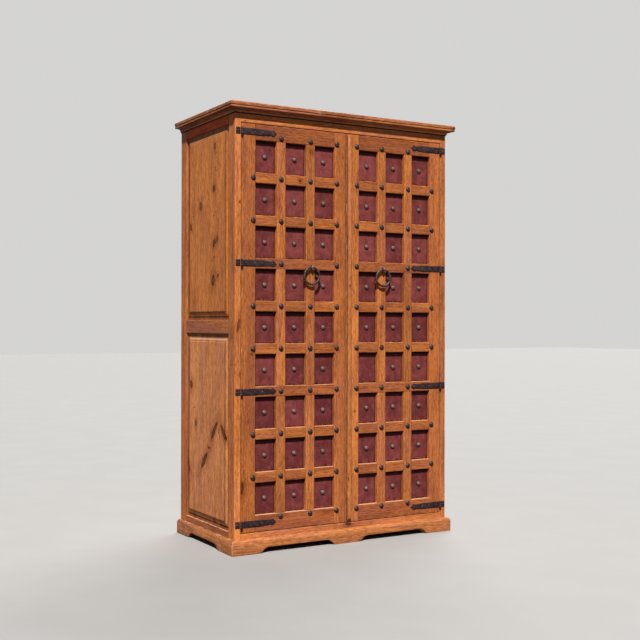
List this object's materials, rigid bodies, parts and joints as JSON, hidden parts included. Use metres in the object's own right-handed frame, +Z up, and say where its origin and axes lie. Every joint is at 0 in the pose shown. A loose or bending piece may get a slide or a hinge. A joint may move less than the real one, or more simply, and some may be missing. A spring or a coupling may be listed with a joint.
{
  "type": "two-door cabinet",
  "caption": "Tall free-standing pine cabinet with studded lattice doors, leather insets, strap hinges, ring pulls, moulded cornice and bracket plinth.",
  "frame": {"origin": "middle of the outer box, on the floor", "axes": "+Z up, +X to the right as seen from the front, the doors face -Y"},
  "size_m": [1.243, 0.651, 2.032],
  "materials": {
    "pine_stained": "honey stain, rubbed wax",
    "pine_plain": "thin stain, dull",
    "leather": "mottled oxblood, satin",
    "forged_iron": "hammered, blackened and waxed",
    "catch_case": "matt brown",
    "catch_steel": "zinc plated"
  },
  "bodies": {
    "carcass": {"front_left_post": "pine_stained", "front_right_post": "pine_stained", "rear_left_post": "pine_stained", "rear_right_post": "pine_stained", "front_top_rail": "pine_stained", "front_bottom_rail": "pine_stained", "back_rails": "pine_plain", "back_boards": "pine_plain", "floor_boards": "pine_plain", "top_boards": "pine_stained", "shelves": "pine_plain", "shelf_cleats": "pine_plain", "cornice_front": "pine_stained", "cornice_left": "pine_stained", "cornice_right": "pine_stained", "plinth_front": "pine_stained", "plinth_left": "pine_stained", "plinth_right": "pine_stained", "door_stop": "pine_plain", "hinge_leaves": "forged_iron", "hinge_pins": "forged_iron", "leaf_nails": "forged_iron", "magnet_catches": "catch_case", "left_side_top_rail": "pine_stained", "left_side_middle_rail": "pine_stained", "left_side_bottom_rail": "pine_stained", "left_upper_panel": "pine_stained", "left_lower_panel": "pine_stained", "right_side_top_rail": "pine_stained", "right_side_middle_rail": "pine_stained", "right_side_bottom_rail": "pine_stained", "right_upper_panel": "pine_stained", "right_lower_panel": "pine_stained"},
    "left_door": {"left_door_hinge_stile": "pine_stained", "left_door_meeting_stile": "pine_stained", "left_door_rails": "pine_stained", "left_door_backing_boards": "pine_plain", "left_door_muntins": "pine_stained", "left_door_lattice_bars": "pine_stained", "left_door_leather_panels": "leather", "left_door_studs": "forged_iron", "left_door_hinge_straps": "forged_iron", "left_door_strap_nails": "forged_iron", "left_door_ring_eye": "forged_iron", "left_door_catch_plate": "catch_steel"},
    "right_door": {"right_door_hinge_stile": "pine_stained", "right_door_meeting_stile": "pine_stained", "right_door_rails": "pine_stained", "right_door_backing_boards": "pine_plain", "right_door_muntins": "pine_stained", "right_door_lattice_bars": "pine_stained", "right_door_leather_panels": "leather", "right_door_studs": "forged_iron", "right_door_hinge_straps": "forged_iron", "right_door_strap_nails": "forged_iron", "right_door_ring_eye": "forged_iron", "right_door_catch_plate": "catch_steel", "right_door_astragal": "pine_stained"},
    "left_ring": {"left_ring_pull": "forged_iron"},
    "right_ring": {"right_ring_pull": "forged_iron"}
  },
  "joints": [
    {"name": "left_door_hinge", "type": "hinge", "parent": "carcass", "child": "left_door", "pos_m": [-0.553, -0.2959, 1.019], "axis": [0, 0, -1], "range_deg": [0, 170]},
    {"name": "right_door_hinge", "type": "hinge", "parent": "carcass", "child": "right_door", "pos_m": [0.553, -0.2959, 1.019], "axis": [0, 0, 1], "range_deg": [0, 170]},
    {"name": "left_ring_swing", "type": "hinge", "parent": "left_door", "child": "left_ring", "pos_m": [-0.19517, -0.3029, 1.29973], "axis": [-1, 0, 0], "range_deg": [-4, 120]},
    {"name": "right_ring_swing", "type": "hinge", "parent": "right_door", "child": "right_ring", "pos_m": [0.20317, -0.3029, 1.29973], "axis": [-1, 0, 0], "range_deg": [-4, 120]}
  ]
}
